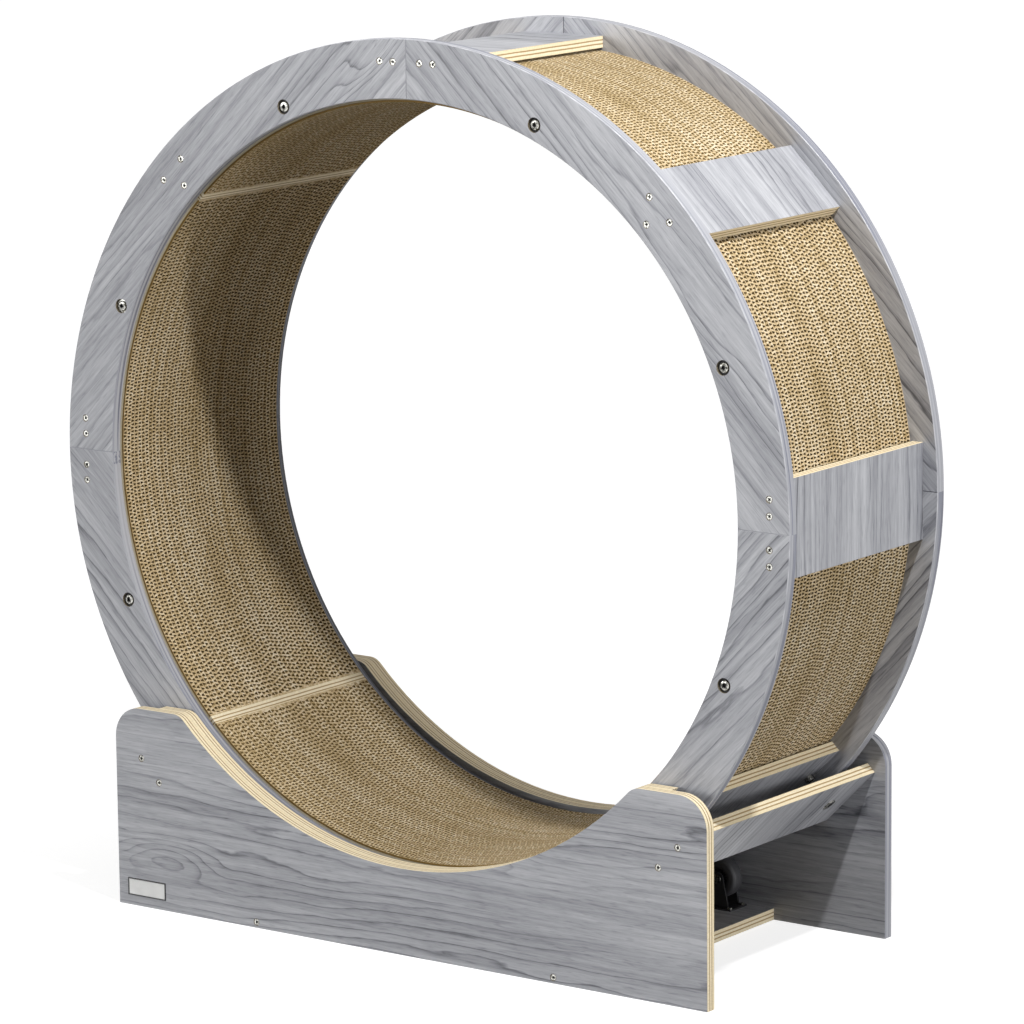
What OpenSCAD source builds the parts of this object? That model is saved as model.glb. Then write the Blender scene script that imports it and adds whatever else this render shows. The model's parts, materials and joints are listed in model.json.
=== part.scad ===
// Exercise wheel for a cat, in laminated plywood on a low stand.
// Two side rings, each of four butt-jointed quarters, are held apart by eight
// cross slats. Four curved pads of corrugated cardboard form the running track
// between four thin dividers, and the whole wheel turns on four small casters.
// X runs along the stand, Y is the depth with the front at -Y, and Z is up.
// The origin is on the floor, under the middle of the wheel.

/* [Wheel] */
// Outer diameter of the two side rings
wheel_d = 1100; // [1000:10:1200]
// Radial width of a side ring
ring_w = 73; // [68:1:80]
// Width of the wheel over both side rings
wheel_w = 342; // [300:2:400]
// How far the slats' outer faces lie in from the rings' outer edge
slat_set = 21; // [18:1:26]
// Width of the four slats that carry the joints of the rings
joint_slat_w = 120; // [110:1:130]
// Width of the four slats that back the dividers
mid_slat_w = 100; // [90:1:110]
// Thickness of the dividers between the pads
divider_t = 12; // [9:1:15]
// How far the pads and dividers stand in past the rings' inner edge
pad_proud = 5; // [2:1:8]
// Thickness of one sheet of the pads' corrugated cardboard
card_t = 7.1; // [6:0.1:8]

/* [Board] */
// Thickness of the plywood
ply = 15; // [12:1:16]
// Bevel along the banded edges of the rings
band_bevel = 0.8; // [0.4:0.1:1.2]

/* [Stand] */
// How far the side panels reach past the end boards' outer corners
base_reach = 15.2; // [10:0.2:40]
// Height of the side panels
base_h = 260; // [240:5:280]
// Radius of the side panels' outer top corners
corner_r = 40; // [25:1:45]
// Radius of the rounded shoulder between a panel's top and its hollow
shoulder_r = 25; // [15:1:30]
// How much larger the hollow of the panels is than the rings' inner edge
hollow_margin = 5; // [3:1:8]
// How far the hollow's centre lies above the wheel's axis
hollow_lift = 12; // [8:1:14]
// Radial width of the curved guides inside the panels
guide_w = 34; // [28:1:36]
// Play between the wheel and each guide
side_gap = 4; // [3:0.5:8]
// Width of the two slanted end boards
end_board_w = 100; // [90:1:110]
// Play between the rings and the end boards
end_gap = 7; // [6:1:12]
// How far the bottom board reaches past the casters' axles
floor_reach = 60; // [50:1:80]

/* [Casters] */
// Distance of each caster's axle from the middle of the stand
caster_x = 230; // [215:1:235]
// Height of a caster's axle above the bottom board
caster_h = 38; // [34:1:42]
// Diameter of a caster's tyre
roller_d = 50; // [44:1:54]
// Width of a caster's tyre
roller_w = 20; // [17:1:22]
// Diameter of a caster's hub
hub_d = 32; // [28:1:34]
// Diameter of a caster's axle
axle_d = 8; // [6:1:8]
// Thickness of a caster's bracket
bracket_t = 2; // [1.5:0.1:2.4]

/* [Fasteners] */
// Head diameter of the wood screws
screw_head_d = 8; // [7:0.5:9]
// Shank diameter of the wood screws
screw_d = 4; // [3.5:0.1:4.5]
// Length of the wood screws
screw_len = 45; // [40:1:48]
// Spacing of the screws along a board's end
screw_pitch = 20; // [18:1:22]
// Distance of the tie bolts out from the rings' inner edge
tie_set = 18; // [16:1:20]
// Rod diameter of the tie bolts
tie_d = 8; // [6:1:8]
// Head diameter of the tie bolts
tie_head_d = 13; // [12:0.5:14]

/* [Lock] */
// Distance of the lock holes in from the back ring's inner face
lock_set = 16; // [14:1:30]
// Bore of the bush that takes the parking bolt
lock_bore = 7; // [6:0.5:8]

/* [Label] */
// Length of the blank plate
label_len = 62; // [50:1:70]
// Height of the blank plate
label_h = 23; // [18:1:26]

/* [Hidden] */

$fn = 96;
// Overrun of a cutting shape past the face that it cuts
over = 1;
// Clearance round a fastener in its hole
hole_fit = 0.1;
// Radial room round a wood screw's head at the board's face
head_room = 0.7;
// How far a wood screw's head lies below the board's face
head_sink = 0.5;
// Radial clearance of an axle in its hub and bracket
run_fit = 0.05;
// Clearance between a tyre and the ring that it carries
roll_gap = 0.3;
// Clearance between a curved face and the flat face that it lies against
lay_gap = 0.3;

rim_r = wheel_d / 2;
rim_in_r = rim_r - ring_w;
inner_w = wheel_w - 2 * ply;
slat_face = rim_r - slat_set;
tie_r = rim_in_r + tie_set;
lock_y = inner_w / 2 - lock_set;
slat_back = slat_face - ply;
slat_mid = slat_face - ply / 2;
track_r = rim_in_r - pad_proud;
pad_out_r = slat_back - lay_gap;
roller_r = roller_d / 2;
caster_reach = rim_r + roller_r + roll_gap;
axle_z = ply + caster_h;
// Height of the wheel's axis, from where the rings lie on the four tyres
hub_z = axle_z + sqrt(caster_reach * caster_reach - caster_x * caster_x);
panel_in = wheel_w / 2 + side_gap + ply;
panel_out = panel_in + ply;
hollow_r = rim_in_r + hollow_margin;
hollow_z = hub_z + hollow_lift;
shoulder_z = base_h - shoulder_r;
shoulder_x = sqrt(pow(hollow_r + shoulder_r, 2) - pow(hollow_z - shoulder_z, 2));
end_in = rim_r + end_gap;
end_mid = end_in + ply / 2;
// Length of the stand, from the outermost corners of the two slanted end boards
base_len = sqrt(2) * (end_in + ply + end_board_w / 2) + 2 * base_reach;
caster_y = (wheel_w - ply) / 2;
floor_board_len = 2 * (caster_x + floor_reach);

// Sheets from one groove of a pad to the next
groove_step = 7;
// Depth of the grooves, as deep as the flutes' mouths look
groove_h = 5;
// Thickness of the cardboard's paper with its glue, left between two rows of flutes
paper_t = 0.8;
// Thickness of a sheet once a whole, even number of them fills the track's width
sheet_t = inner_w / (2 * round(inner_w / (2 * card_t)));
groove_w = sheet_t - paper_t;
groove_gap = groove_step * sheet_t;
// Number of grooves on each side of the track's middle
groove_n = round((inner_w / 2 - sheet_t) / groove_gap);

tie_rod_fit = 0.5;
tie_head_h = 4;
tie_sink = 4.5;
tie_well_d = 18.5;
tie_flange_d = 17.5;
tie_flange_h = 1.2;
tie_socket_af = 5;
tie_socket_h = 3;
tie_sleeve_d = 11;
tie_sleeve_h = 10;
tie_end = 0.5;

cross_share = 0.55;
cross_w = 1.1;
cross_h = 1.6;
head_cone_h = 2.6;
tip_h = 5;

lock_bush_d = 12;
lock_flange_d = 18;
lock_flange_h = 1.5;
lock_stand = 6;
lock_depth = 11;
lock_floor = 3;

label_t = 1.2;
label_rim = 1.6;
label_sink = 0.5;
label_side = 46;
label_z = 24.5;

plate_len = 48;
plate_w = 38;
cheek_foot = 32;
cheek_top_r = 9;
cheek_play = 1;
plate_screw_x = 20.2;
plate_screw_y = 14;
pan_d = 6.6;
pan_h = 2;
pan_len = 12;
pan_shank_d = 3.4;
rivet_d = 12;
rivet_h = 1.6;
hub_dish = 4;
hub_boss_d = 15;
hub_rim_w = 3;
tyre_round = 3;

grey_face = [0.63, 0.64, 0.67];
grey_dark = [0.50, 0.51, 0.54];
ply_edge = [0.93, 0.86, 0.70];
card_tan = [0.66, 0.56, 0.38];
steel = [0.78, 0.78, 0.77];
black = [0.10, 0.10, 0.11];

// Shapes about the wheel's axis: +X points out along the radius at angle a,
// counted from the right as seen from the front, and Y stays the depth.
module spoke(a) {
    translate([0, 0, hub_z]) rotate([0, -a, 0]) children();
}

// A round bar along Y between two depths
module bar(r, y0, y1) {
    translate([0, y0, 0]) rotate([-90, 0, 0]) cylinder(r = r, h = y1 - y0);
}

// A round bar along X between two places
module xbar(r, x0, x1) {
    translate([x0, 0, 0]) rotate([0, 90, 0]) cylinder(r = r, h = x1 - x0);
}

// Turned to face the back, for what the back ring or panel has mirrored
module facing(back) {
    if (back) mirror([0, 1, 0]) children();
    else children();
}

// Countersunk wood screw along +Y, sunk a little below the board's face at y = 0
module wood_screw() {
    translate([0, head_sink, 0]) difference() {
        union() {
            rotate([-90, 0, 0])
                cylinder(r1 = screw_head_d / 2, r2 = screw_d / 2, h = head_cone_h);
            bar(screw_d / 2, 0, screw_len - tip_h);
            translate([0, screw_len - tip_h, 0]) rotate([-90, 0, 0])
                cylinder(r1 = screw_d / 2, r2 = screw_d / 8, h = tip_h);
        }
        for (a = [45, 135]) rotate([0, a, 0])
            translate([-screw_head_d * cross_share / 2, -over, -cross_w / 2])
                cube([screw_head_d * cross_share, cross_h + over, cross_w]);
    }
}

// The hole that a wood screw leaves in the boards it joins
module screw_hole() {
    rotate([-90, 0, 0]) cylinder(r1 = screw_head_d / 2 + head_room, r2 = screw_d / 2 + hole_fit,
        h = head_sink + head_cone_h);
    bar(screw_head_d / 2 + head_room, -over, 0);
    bar(screw_d / 2 + hole_fit, 0, head_sink + screw_len + hole_fit);
}

// Places of the wood screws of one ring, seen from the wheel's front
module rim_screw_places() {
    for (k = [0:3]) {
        spoke(90 * k) for (s = [-2, -1, 1, 2])
            translate([slat_mid, -wheel_w / 2, s * screw_pitch]) children();
        spoke(90 * k + 45) {
            for (s = [-1, 1]) translate([slat_mid, -wheel_w / 2, s * screw_pitch]) children();
            translate([tie_r, -wheel_w / 2, 0]) children();
        }
    }
}

// Places of the tie bolts, two through each pad
module tie_places() {
    for (k = [0:7]) spoke(45 * k + 22.5) translate([tie_r, 0, 0]) children();
}

// One ring whole, at the front, with bevelled banded edges
module whole_ring() {
    b = band_bevel;
    translate([0, -wheel_w / 2, hub_z]) rotate([-90, 0, 0]) rotate_extrude()
        polygon([
            [rim_in_r + b, 0], [rim_r - b, 0], [rim_r, b], [rim_r, ply - b],
            [rim_r - b, ply], [rim_in_r + b, ply], [rim_in_r, ply - b], [rim_in_r, b]
        ]);
}

// Quarter number q of a ring, from angle 90 q to 90 q + 90
module ring_quarter(q, back) {
    facing(back) difference() {
        intersection() {
            whole_ring();
            spoke(90 * q) translate([0, -wheel_w, 0]) cube([wheel_d, 2 * wheel_w, wheel_d]);
        }
        rim_screw_places() screw_hole();
        tie_places() {
            bar(tie_well_d / 2, -wheel_w / 2 - over, tie_sink - wheel_w / 2);
            bar((back ? tie_sleeve_d : tie_d) / 2 + hole_fit, -wheel_w / 2, 0);
        }
    }
}

// Cross slat of width w at angle a
module slat(a, w) {
    difference() {
        spoke(a) translate([slat_back, -inner_w / 2, -w / 2]) cube([ply, inner_w, w]);
        for (back = [false, true]) facing(back) rim_screw_places() screw_hole();
    }
}

// Thin board between two pads, from the track to the slat behind it
module divider(a) {
    difference() {
        spoke(a) translate([track_r, -inner_w / 2, -divider_t / 2])
            cube([slat_back - track_r, inner_w, divider_t]);
        for (back = [false, true]) facing(back) rim_screw_places() screw_hole();
    }
}

// Grooves about the axis, where every seventh row of flutes opens on the track and on the pads' backs
module flute_rows() {
    for (side = [-1, 1], k = [1:groove_n]) {
        y = side * (k - 1 / 2) * groove_gap;
        bar(track_r + groove_h, y - groove_w / 2, y + groove_w / 2);
        translate([0, y, 0]) rotate([-90, 0, 0]) rotate_extrude()
            translate([pad_out_r - groove_h, -groove_w / 2]) square([groove_h + over, groove_w]);
    }
}

// Curved cardboard pad about angle a, cut square to the dividers at its ends
module pad(a) {
    apex = divider_t / sqrt(2);
    difference() {
        intersection() {
            translate([0, 0, hub_z]) bar(pad_out_r, -inner_w / 2, inner_w / 2);
            spoke(a) translate([0, inner_w, 0]) rotate([90, 0, 0])
                linear_extrude(2 * inner_w)
                    polygon([[apex, 0], [apex + wheel_d, -wheel_d], [apex + wheel_d, wheel_d]]);
        }
        translate([0, 0, hub_z]) bar(track_r, -inner_w, inner_w);
        translate([0, 0, hub_z]) flute_rows();
        tie_places() bar(tie_d / 2 + tie_rod_fit, -inner_w, inner_w);
    }
}

// Tie bolt: a round head in the front ring and a rod right through the pad
module tie_bolt() {
    seat = tie_sink - wheel_w / 2;
    difference() {
        union() {
            bar(tie_head_d / 2, seat - tie_head_h, seat);
            bar(tie_flange_d / 2, seat - tie_flange_h, seat);
            bar(tie_d / 2, seat, wheel_w / 2 - tie_sink - tie_end);
        }
        translate([0, seat - tie_head_h - over, 0]) rotate([-90, 0, 0])
            cylinder(r = tie_socket_af / sqrt(3), h = tie_socket_h + over, $fn = 6);
    }
}

// Sleeve nut in the back ring, over the end of the rod
module tie_nut() {
    seat = wheel_w / 2 - tie_sink;
    difference() {
        union() {
            bar(tie_head_d / 2, seat, seat + tie_head_h);
            bar(tie_flange_d / 2, seat, seat + tie_flange_h);
            bar(tie_sleeve_d / 2, seat - tie_sleeve_h, seat);
        }
        bar(tie_d / 2 + hole_fit, seat - tie_sleeve_h - over, seat);
        translate([0, seat + tie_head_h - tie_socket_h, 0]) rotate([-90, 0, 0])
            cylinder(r = tie_socket_af / sqrt(3), h = tie_socket_h + over, $fn = 6);
    }
}

// Places of the wood screws of one stand panel, at the front
module panel_screw_places() {
    for (a = [-45, -135]) spoke(a) for (s = [-1, 1])
        translate([end_mid, -panel_out, s * screw_pitch]) children();
    for (s = [-1, 1]) translate([s * caster_x, -panel_out, ply / 2]) children();
}

// Outline shared by the panels and the guides: the hollow and its round shoulders
module hollow_cut(y0, y1) {
    reach = hollow_r + shoulder_r;
    far = base_h + over;
    foot_x = shoulder_x * hollow_r / reach;
    foot_z = hollow_z - (hollow_z - shoulder_z) * hollow_r / reach;
    translate([0, 0, hollow_z]) bar(hollow_r, y0, y1);
    for (s = [-1, 1]) scale([s, 1, 1]) translate([0, y1, 0]) rotate([90, 0, 0])
        linear_extrude(y1 - y0) polygon([
            [shoulder_x, shoulder_z], [shoulder_x, far], [0, far], [0, foot_z], [foot_x, foot_z]
        ]);
}

// Round shoulders, to be added where hollow_cut has cleared
module shoulders(y0, y1) {
    for (s = [-1, 1]) translate([s * shoulder_x, 0, shoulder_z]) bar(shoulder_r, y0, y1);
}

// Side panel of the stand
module panel(back) {
    cx = base_len / 2 - corner_r;
    cz = base_h - corner_r;
    facing(back) difference() {
        union() {
            difference() {
                translate([-base_len / 2, -panel_out, 0]) cube([base_len, ply, base_h]);
                hollow_cut(-panel_out - over, over - panel_in);
                for (s = [-1, 1]) translate([s * (cx + base_len) - base_len, -panel_out - over, cz])
                    cube([2 * base_len, ply + 2 * over, base_h]);
            }
            shoulders(-panel_out, -panel_in);
            for (s = [-1, 1]) translate([s * cx, 0, cz]) bar(corner_r, -panel_out, -panel_in);
        }
        panel_screw_places() screw_hole();
        if (!back) translate([-base_len / 2 + label_side - label_len / 2, -panel_out - over,
            label_z - label_h / 2]) cube([label_len, label_sink + over, label_h]);
    }
}

// Curved guide glued inside a panel, which keeps the wheel on its casters
module guide(back) {
    facing(back) union() {
        difference() {
            intersection() {
                translate([0, 0, hollow_z]) bar(hollow_r + guide_w, -panel_in, ply - panel_in);
                translate([-base_len / 2, -panel_in - over, 0])
                    cube([base_len, ply + 2 * over, base_h]);
            }
            hollow_cut(-panel_in - over, ply - panel_in + over);
        }
        intersection() {
            shoulders(-panel_in, ply - panel_in);
            translate([0, 0, hollow_z]) bar(hollow_r + guide_w, -panel_in, ply - panel_in);
        }
    }
}

// Slanted board between the panels, square to the radius at angle a
module end_board(a, bushed) {
    difference() {
        spoke(a) translate([end_in, -panel_in, -end_board_w / 2])
            cube([ply, 2 * panel_in, end_board_w]);
        for (back = [false, true]) facing(back) panel_screw_places() screw_hole();
        if (bushed) spoke(a) translate([0, lock_y, 0])
            xbar(lock_bush_d / 2 + hole_fit, end_in - over, end_in + ply + over);
    }
}

module floor_board() {
    difference() {
        translate([-floor_board_len / 2, -panel_in, 0])
            cube([floor_board_len, 2 * panel_in, ply]);
        for (back = [false, true]) facing(back) panel_screw_places() screw_hole();
        caster_screw_places() translate([0, 0, -pan_len - hole_fit])
            cylinder(r = pan_shank_d / 2 + hole_fit, h = pan_len + bracket_t + over);
    }
}

// A caster's place: side -1 or 1 along X, depth -1 or 1 along Y, on the bottom board
module caster_place(sx, sy) {
    translate([sx * caster_x, sy * caster_y, ply]) children();
}

module caster_screw_places() {
    for (sx = [-1, 1], sy = [-1, 1]) caster_place(sx, sy)
        for (u = [-1, 1], v = [-1, 1])
            translate([u * plate_screw_x, v * plate_screw_y, 0]) children();
}

// Pan-head screw through the bracket's plate
module pan_screw() {
    difference() {
        union() {
            translate([0, 0, bracket_t]) cylinder(r = pan_d / 2, h = pan_h);
            translate([0, 0, -pan_len]) cylinder(r = pan_shank_d / 2, h = pan_len + bracket_t);
        }
        for (a = [0, 90]) rotate([0, 0, a])
            translate([-pan_d * cross_share / 2, -cross_w / 2, bracket_t + pan_h - cross_h / 2])
                cube([pan_d * cross_share, cross_w, cross_h]);
    }
}

// One cheek of the fork, flat in XZ and bracket_t thick, from y = 0
module cheek() {
    slope = (cheek_foot - 2 * cheek_top_r) / 2;
    translate([0, bracket_t, 0]) rotate([90, 0, 0]) linear_extrude(bracket_t)
        polygon([
            [-cheek_foot / 2, 0], [cheek_foot / 2, 0], [cheek_foot / 2, slope],
            [cheek_top_r, caster_h], [-cheek_top_r, caster_h], [-cheek_foot / 2, slope]
        ]);
    translate([0, 0, caster_h]) bar(cheek_top_r, 0, bracket_t);
}

// Fixed fork of a caster: base plate and two cheeks, pressed from one sheet
module bracket() {
    half = roller_w / 2 + cheek_play;
    difference() {
        union() {
            translate([-plate_len / 2, -plate_w / 2, 0]) cube([plate_len, plate_w, bracket_t]);
            translate([0, half, 0]) cheek();
            translate([0, -half - bracket_t, 0]) cheek();
        }
        translate([0, 0, caster_h]) bar(axle_d / 2 + run_fit, -plate_w, plate_w);
        for (u = [-1, 1], v = [-1, 1]) translate([u * plate_screw_x, v * plate_screw_y, -over])
            cylinder(r = pan_shank_d / 2 + hole_fit, h = bracket_t + 2 * over);
    }
}

// Riveted axle, through both cheeks
module axle() {
    half = roller_w / 2 + cheek_play + bracket_t;
    translate([0, 0, caster_h]) {
        bar(axle_d / 2, -half, half);
        for (s = [-1, 1]) translate([0, s * (half + rivet_h / 2), 0])
            bar(rivet_d / 2, -rivet_h / 2, rivet_h / 2);
    }
}

// Hub with a dished web between its boss and its rim
module hub() {
    w = roller_w / 2;
    boss = w + cheek_play / 2;
    rim = hub_d / 2 - hub_rim_w;
    translate([0, 0, caster_h]) rotate([-90, 0, 0]) rotate_extrude() polygon([
        [axle_d / 2 + run_fit, -boss], [hub_boss_d / 2, -boss], [hub_boss_d / 2, hub_dish - w],
        [rim, hub_dish - w], [rim, -w], [hub_d / 2, -w], [hub_d / 2, w], [rim, w],
        [rim, w - hub_dish], [hub_boss_d / 2, w - hub_dish], [hub_boss_d / 2, boss],
        [axle_d / 2 + run_fit, boss]
    ]);
}

// Solid tyre round the hub, with eased shoulders
module tyre() {
    w = roller_w / 2;
    translate([0, 0, caster_h]) rotate([-90, 0, 0]) rotate_extrude() polygon([
        [hub_d / 2 + run_fit, -w], [roller_r - tyre_round, -w], [roller_r, tyre_round - w],
        [roller_r, w - tyre_round], [roller_r - tyre_round, w], [hub_d / 2 + run_fit, w]
    ]);
}

module front_rim_ne() color(grey_face) ring_quarter(0, false);
module front_rim_nw() color(grey_face) ring_quarter(1, false);
module front_rim_sw() color(grey_face) ring_quarter(2, false);
module front_rim_se() color(grey_face) ring_quarter(3, false);
module back_rim_ne() color(grey_face) ring_quarter(0, true);
module back_rim_nw() color(grey_face) ring_quarter(1, true);
module back_rim_sw() color(grey_face) ring_quarter(2, true);
module back_rim_se() color(grey_face) ring_quarter(3, true);

module slat_000() color(grey_face) slat(0, joint_slat_w);
module slat_045() color(grey_face) slat(45, mid_slat_w);
module slat_090() color(grey_face) slat(90, joint_slat_w);
module slat_135() color(grey_face) slat(135, mid_slat_w);
module slat_180() color(grey_face) slat(180, joint_slat_w);
module slat_225() color(grey_face) slat(225, mid_slat_w);
module slat_270() color(grey_face) slat(270, joint_slat_w);
module slat_315() color(grey_face) difference() {
    slat(315, mid_slat_w);
    spoke(315) translate([0, lock_y, 0])
        xbar(lock_bush_d / 2 + hole_fit, slat_face - lock_depth - hole_fit, slat_face + over);
}

module divider_045() color(ply_edge) divider(45);
module divider_135() color(ply_edge) divider(135);
module divider_225() color(ply_edge) divider(225);
module divider_315() color(ply_edge) divider(315);

module pad_east() color(card_tan) pad(0);
module pad_north() color(card_tan) pad(90);
module pad_west() color(card_tan) pad(180);
module pad_south() color(card_tan) pad(270);

module tie_bolts() color(steel) tie_places() tie_bolt();
module tie_nuts() color(steel) tie_places() tie_nut();
module rim_screws_front() color(steel) rim_screw_places() wood_screw();
module rim_screws_back() color(steel) facing(true) rim_screw_places() wood_screw();

// Threaded insert in the slat that faces the right end board
module lock_socket() color(steel) spoke(315) translate([0, lock_y, 0]) difference() {
    xbar(lock_bush_d / 2, slat_face - lock_depth, slat_face + lock_stand);
    xbar(lock_bore / 2, slat_face - lock_depth + lock_floor, slat_face + lock_stand + over);
}

module front_panel() color(grey_face) panel(false);
module back_panel() color(grey_face) panel(true);
module front_guide() color(grey_dark) guide(false);
module back_guide() color(grey_dark) guide(true);
module left_end_board() color(grey_face) end_board(-135, false);
module right_end_board() color(grey_face) end_board(-45, true);
module bottom_board() color(grey_dark) floor_board();
module panel_screws_front() color(steel) panel_screw_places() wood_screw();
module panel_screws_back() color(steel) facing(true) panel_screw_places() wood_screw();

// Flanged bush through the right end board, for the parking bolt
module lock_bush() color(steel) spoke(-45) translate([0, lock_y, 0]) difference() {
    union() {
        xbar(lock_bush_d / 2, end_in, end_in + ply);
        xbar(lock_flange_d / 2, end_in + ply, end_in + ply + lock_flange_h);
    }
    xbar(lock_bore / 2, end_in - over, end_in + ply + lock_flange_h + over);
}

// Blank plate let into the front panel
module label_plate() color(black)
    translate([-base_len / 2 + label_side, label_sink - panel_out, label_z]) difference() {
        translate([-label_len / 2 + hole_fit, -label_t, -label_h / 2 + hole_fit])
            cube([label_len - 2 * hole_fit, label_t, label_h - 2 * hole_fit]);
        translate([-label_len / 2 + label_rim, -label_t - over, -label_h / 2 + label_rim])
            cube([label_len - 2 * label_rim, over + label_t / 3, label_h - 2 * label_rim]);
    }

module caster_screws() color(steel) caster_screw_places() pan_screw();
module bracket_fl() color(black) caster_place(-1, -1) bracket();
module bracket_fr() color(black) caster_place(1, -1) bracket();
module bracket_bl() color(black) caster_place(-1, 1) bracket();
module bracket_br() color(black) caster_place(1, 1) bracket();
module axle_fl() color(steel) caster_place(-1, -1) axle();
module axle_fr() color(steel) caster_place(1, -1) axle();
module axle_bl() color(steel) caster_place(-1, 1) axle();
module axle_br() color(steel) caster_place(1, 1) axle();
module hub_fl() color(black) caster_place(-1, -1) hub();
module hub_fr() color(black) caster_place(1, -1) hub();
module hub_bl() color(black) caster_place(-1, 1) hub();
module hub_br() color(black) caster_place(1, 1) hub();
module tyre_fl() color(black) caster_place(-1, -1) tyre();
module tyre_fr() color(black) caster_place(1, -1) tyre();
module tyre_bl() color(black) caster_place(-1, 1) tyre();
module tyre_br() color(black) caster_place(1, 1) tyre();

front_rim_ne();
front_rim_nw();
front_rim_sw();
front_rim_se();
back_rim_ne();
back_rim_nw();
back_rim_sw();
back_rim_se();
slat_000();
slat_045();
slat_090();
slat_135();
slat_180();
slat_225();
slat_270();
slat_315();
divider_045();
divider_135();
divider_225();
divider_315();
pad_east();
pad_north();
pad_west();
pad_south();
tie_bolts();
tie_nuts();
rim_screws_front();
rim_screws_back();
lock_socket();
front_panel();
back_panel();
front_guide();
back_guide();
left_end_board();
right_end_board();
bottom_board();
panel_screws_front();
panel_screws_back();
lock_bush();
label_plate();
caster_screws();
bracket_fl();
bracket_fr();
bracket_bl();
bracket_br();
axle_fl();
axle_fr();
axle_bl();
axle_br();
hub_fl();
hub_fr();
hub_bl();
hub_br();
tyre_fl();
tyre_fr();
tyre_bl();
tyre_br();
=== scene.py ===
import json
import random
from math import asin, atan2, cos, hypot, pi, radians, sin, sqrt

import bmesh
import bpy
from mathutils import Matrix, Vector


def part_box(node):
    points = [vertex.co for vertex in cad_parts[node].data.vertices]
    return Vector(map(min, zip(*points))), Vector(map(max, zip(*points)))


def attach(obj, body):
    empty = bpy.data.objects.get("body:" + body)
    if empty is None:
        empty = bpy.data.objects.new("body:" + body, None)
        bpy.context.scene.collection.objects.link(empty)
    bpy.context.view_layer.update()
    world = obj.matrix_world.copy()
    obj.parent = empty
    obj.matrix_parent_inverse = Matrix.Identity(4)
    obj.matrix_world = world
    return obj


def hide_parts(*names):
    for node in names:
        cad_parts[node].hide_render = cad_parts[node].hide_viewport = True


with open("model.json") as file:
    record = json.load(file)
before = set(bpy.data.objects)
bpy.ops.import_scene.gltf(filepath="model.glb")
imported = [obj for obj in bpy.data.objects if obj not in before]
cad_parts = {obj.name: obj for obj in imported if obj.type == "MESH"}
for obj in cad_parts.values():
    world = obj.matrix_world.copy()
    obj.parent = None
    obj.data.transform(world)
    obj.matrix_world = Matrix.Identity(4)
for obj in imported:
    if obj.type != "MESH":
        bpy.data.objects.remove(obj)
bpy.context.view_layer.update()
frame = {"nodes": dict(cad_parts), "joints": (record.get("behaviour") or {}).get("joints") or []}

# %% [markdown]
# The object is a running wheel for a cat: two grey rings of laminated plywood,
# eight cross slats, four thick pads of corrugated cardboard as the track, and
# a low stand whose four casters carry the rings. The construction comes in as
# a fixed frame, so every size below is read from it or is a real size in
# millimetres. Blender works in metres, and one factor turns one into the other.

mm = 0.001

# %% The wheel's axis and the depths of its boards
wheel_joint = next(j for j in frame["joints"] if j["name"] == "wheel_spin")
axis = Vector(wheel_joint["pos_m"])
quarter_low, quarter_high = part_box("front_rim_ne")
ply = quarter_high.y - quarter_low.y
print("axis height", round(axis.z, 4), "plywood", round(ply, 4))


# %% [markdown]
# The camera stands where the photographer stood: a long lens, about 36 degrees
# round to the right and 11 degrees up, so that the rings stay nearly parallel.
# It could be aimed by hand. Here its place is worked out from those two angles,
# a distance and the point that it looks at, and a small roll levels the picture.

# %% Camera
view_azimuth, view_elevation, view_roll = radians(36.18), radians(10.74), radians(-0.62)
view_distance = 6621 * mm
aim = Vector((23 * mm, 4 * mm, 526.4 * mm))
sensor_width = 36.0
photo_width = 1024
lens_in_frames = 5313.7 / photo_width

camera_data = bpy.data.cameras.new("camera")
camera_data.sensor_width = sensor_width
camera_data.lens = lens_in_frames * sensor_width
camera_data.clip_end = 60
camera = bpy.data.objects.new("camera", camera_data)
towards = Vector((sin(view_azimuth) * cos(view_elevation), -cos(view_azimuth) * cos(view_elevation),
                  sin(view_elevation)))
camera.location = aim + view_distance * towards
camera.rotation_euler = (
    (-towards).to_track_quat("-Z", "Y").to_matrix() @ Matrix.Rotation(view_roll, 3, "Z")
).to_euler()
bpy.context.scene.collection.objects.link(camera)
bpy.context.scene.camera = camera
print("camera at", [round(v, 3) for v in camera.location], "lens", round(camera_data.lens, 1))


# %% [markdown]
# A material is a small tree of nodes. Each node could be made by hand with
# tree.nodes.new and three more lines. One small function does all of it: the
# kind of node, its inputs, by name or in the order of its sockets, each a value
# or another node's output, the stops of a colour ramp, and its settings. Colours
# are written as the hex codes that a picture editor shows, so they are turned
# from sRGB to linear light.

# %% Colours and nodes
def colour(code):
    """An sRGB hex colour as linear red, green, blue and alpha."""
    shares = [int(code[i:i + 2], 16) / 255 for i in (1, 3, 5)]
    return [s / 12.92 if s <= 0.04045 else ((s + 0.055) / 1.055) ** 2.4 for s in shares] + [1.0]


def add(tree, kind, inputs=(), stops=(), **settings):
    """A new node of the tree, with its inputs, by name or in order, set or linked."""
    node = tree.nodes.new("ShaderNode" + kind)
    for name, value in settings.items():
        setattr(node, name, value)
    for number, (at, code) in enumerate(stops):
        elements = node.color_ramp.elements
        element = elements[number] if number < 2 else elements.new(at)
        element.position = at
        element.color = colour(code)
    for key, value in inputs.items() if isinstance(inputs, dict) else enumerate(inputs):
        if isinstance(value, bpy.types.NodeSocket):
            tree.links.new(value, node.inputs[key])
        else:
            node.inputs[key].default_value = value
    return node


def new_material(name, **values):
    """A material by name, its tree, and its shader with the values that are the same all over."""
    material = bpy.data.materials.new(name)
    material.use_nodes = True
    shader = material.node_tree.nodes["Principled BSDF"]
    for key, value in values.items():
        shader.inputs[key.replace("_", " ")].default_value = value
    return material, material.node_tree, shader


print("mid grey #808080 in linear light", round(colour("#808080")[0], 3))


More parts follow.
